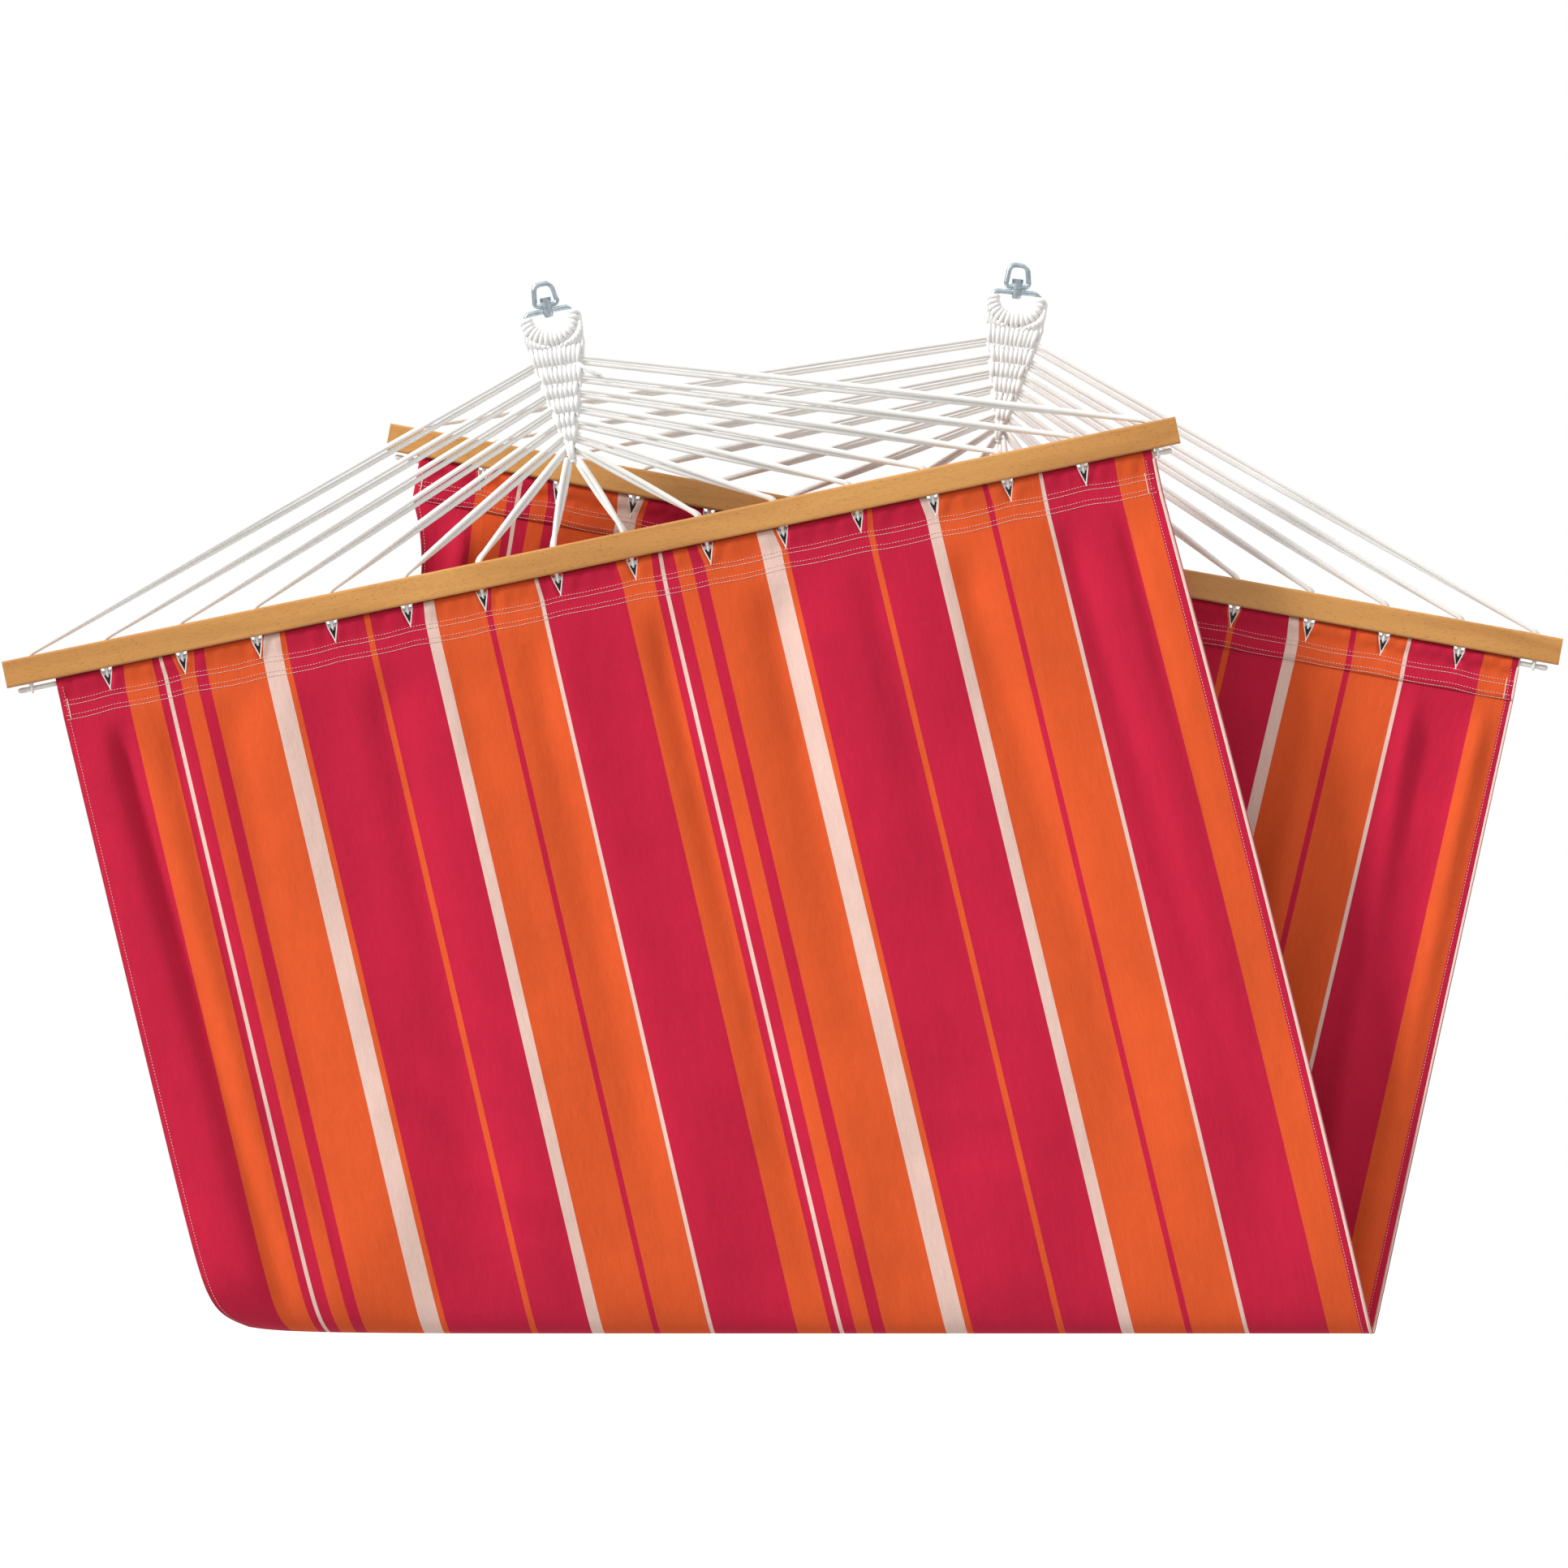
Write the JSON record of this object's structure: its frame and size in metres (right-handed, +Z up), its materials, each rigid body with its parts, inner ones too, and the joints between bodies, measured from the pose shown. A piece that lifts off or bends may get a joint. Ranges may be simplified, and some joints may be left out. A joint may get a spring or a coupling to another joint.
{
  "type": "fabric spreader-bar hammock",
  "caption": "Striped fabric hammock with wooden spreader bars, woven rope clews and steel swivel eyes, hung by both eyes with its bed folded in half.",
  "frame": {"origin": "inside the top of the front swivel eye, where the hook bears", "axes": "+X along the bars to the right as seen from the front, +Y from the front half of the bed to the rear half, +Z up"},
  "size_m": [1.9593, 0.124, 1.3457],
  "materials": {
    "zinc": "bright blue-white zinc plating, slightly rough",
    "rope": "braided white rope, matte",
    "beech": "steamed beech with clear satin varnish",
    "cloth": "plain-weave cotton cloth striped crimson, orange and cream, matte"
  },
  "bodies": {
    "front_eye": {"front_eye": "zinc", "front_swivel_pin": "zinc"},
    "front_ring": {"front_ring": "zinc", "front_ring_hitches": "rope"},
    "front_net": {"front_clew": "rope", "front_spreader_bar": "beech", "front_rope_loop_01": "rope", "front_rope_loop_02": "rope", "front_rope_loop_03": "rope", "front_rope_loop_04": "rope", "front_rope_loop_05": "rope", "front_rope_loop_06": "rope", "front_rope_loop_07": "rope", "front_rope_loop_08": "rope", "front_rope_loop_09": "rope", "front_rope_loop_10": "rope", "front_rope_loop_11": "rope", "front_rope_loop_12": "rope", "front_rope_loop_13": "rope", "front_rope_loop_14": "rope", "front_rope_loop_15": "rope", "front_rope_loop_16": "rope"},
    "front_bed": {"bed_front_hem": "cloth", "bed_front_lower": "cloth", "bed_front_middle": "cloth", "bed_front_upper": "cloth", "front_hem_cord": "rope"},
    "rear_bed": {"bed_rear_hem": "cloth", "bed_rear_lower": "cloth", "bed_rear_middle": "cloth", "bed_rear_upper": "cloth", "rear_hem_cord": "rope"},
    "rear_net": {"rear_clew": "rope", "rear_spreader_bar": "beech", "rear_rope_loop_01": "rope", "rear_rope_loop_02": "rope", "rear_rope_loop_03": "rope", "rear_rope_loop_04": "rope", "rear_rope_loop_05": "rope", "rear_rope_loop_06": "rope", "rear_rope_loop_07": "rope", "rear_rope_loop_08": "rope", "rear_rope_loop_09": "rope", "rear_rope_loop_10": "rope", "rear_rope_loop_11": "rope", "rear_rope_loop_12": "rope", "rear_rope_loop_13": "rope", "rear_rope_loop_14": "rope", "rear_rope_loop_15": "rope", "rear_rope_loop_16": "rope"},
    "rear_ring": {"rear_ring": "zinc", "rear_ring_hitches": "rope"},
    "rear_eye": {"rear_eye": "zinc", "rear_swivel_pin": "zinc"}
  },
  "joints": [
    {"name": "front_swivel", "type": "hinge", "parent": "front_eye", "child": "front_ring", "pos_m": [0, 0, 0], "axis": [0.2079, 0, -0.9781], "range_deg": [-180, 180]},
    {"name": "front_clew_flex", "type": "hinge", "parent": "front_ring", "child": "front_net", "pos_m": [0.01638, 0, -0.07708], "axis": [0.9781, 0, 0.2079], "range_deg": [-30, 30]},
    {"name": "front_hem_turn", "type": "hinge", "parent": "front_net", "child": "front_bed", "pos_m": [0.06581, 0, -0.356], "axis": [0.9789, 0, 0.2045], "range_deg": [-90, 0]},
    {"name": "bed_fold", "type": "hinge", "parent": "front_bed", "child": "rear_bed", "pos_m": [0.3, 0.05, -1.312], "axis": [-1, 0, 0], "range_deg": [0, 150]},
    {"name": "rear_hem_turn", "type": "hinge", "parent": "rear_bed", "child": "rear_net", "pos_m": [0.53776, 0.1, -0.34411], "axis": [-0.9836, 0, 0.1805], "range_deg": [0, 95]},
    {"name": "rear_clew_flex", "type": "hinge", "parent": "rear_net", "child": "rear_ring", "pos_m": [0.59113, 0.1, -0.0515], "axis": [0.9962, 0, -0.0872], "range_deg": [-30, 30]},
    {"name": "rear_swivel", "type": "hinge", "parent": "rear_ring", "child": "rear_eye", "pos_m": [0.598, 0.1, 0.027], "axis": [-0.0872, 0, -0.9962], "continuous": true}
  ]
}
